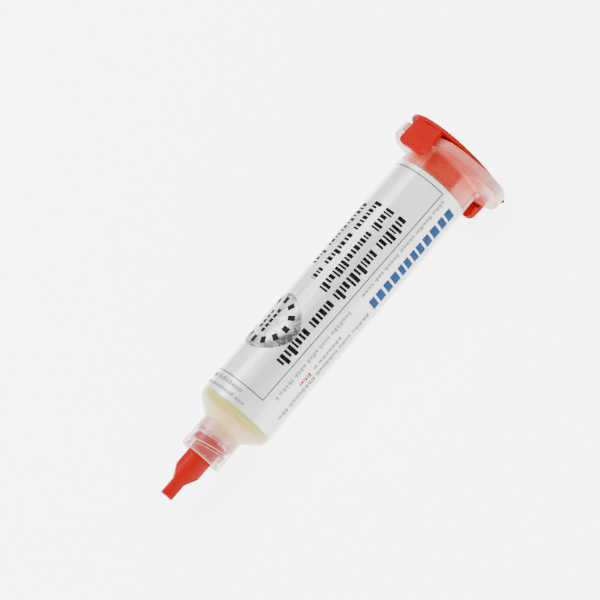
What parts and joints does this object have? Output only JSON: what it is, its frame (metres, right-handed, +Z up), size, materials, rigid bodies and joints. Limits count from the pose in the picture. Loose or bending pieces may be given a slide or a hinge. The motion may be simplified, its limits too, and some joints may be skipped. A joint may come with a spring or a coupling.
{
  "type": "flux syringe",
  "caption": "Capped dispensing syringe barrel of soldering flux: translucent tube with label, eared flange, luer-lock outlet, piston, red tip cap and clip-on end cap.",
  "frame": {"origin": "on the table, under the middle of the syringe's length, as it lies at rest", "axes": "+X towards the end cap, along the syringe; +Z up; the barrel's axis rises by 3.2 degrees towards +X"},
  "size_m": [0.1025, 0.0336, 0.0272],
  "materials": {
    "natural_polypropylene": "translucent, fine satin",
    "label_film": "satin",
    "seal_foil": "brushed",
    "flux_gel": "wet",
    "white_polyethylene": "satin",
    "red_polyethylene": "semi-gloss"
  },
  "bodies": {
    "syringe": {"barrel": "natural_polypropylene", "label": "label_film", "seal_sticker": "seal_foil", "flux": "flux_gel"},
    "piston": {"piston": "white_polyethylene"},
    "tip_cap": {"tip_cap": "red_polyethylene"},
    "end_cap": {"end_cap": "red_polyethylene"}
  },
  "joints": [
    {"name": "piston_slide", "type": "slide", "parent": "syringe", "child": "piston", "axis": [0.9984, 0, 0.0558], "range_m": [-0.0475, 0], "deforming": ["flux"]},
    {"name": "tip_cap_pull", "type": "slide", "parent": "syringe", "child": "tip_cap", "axis": [-0.9984, 0, -0.0558], "range_m": [0, 0.016]},
    {"name": "end_cap_pull", "type": "slide", "parent": "syringe", "child": "end_cap", "axis": [0.9984, 0, 0.0558], "range_m": [0, 0.02]}
  ]
}
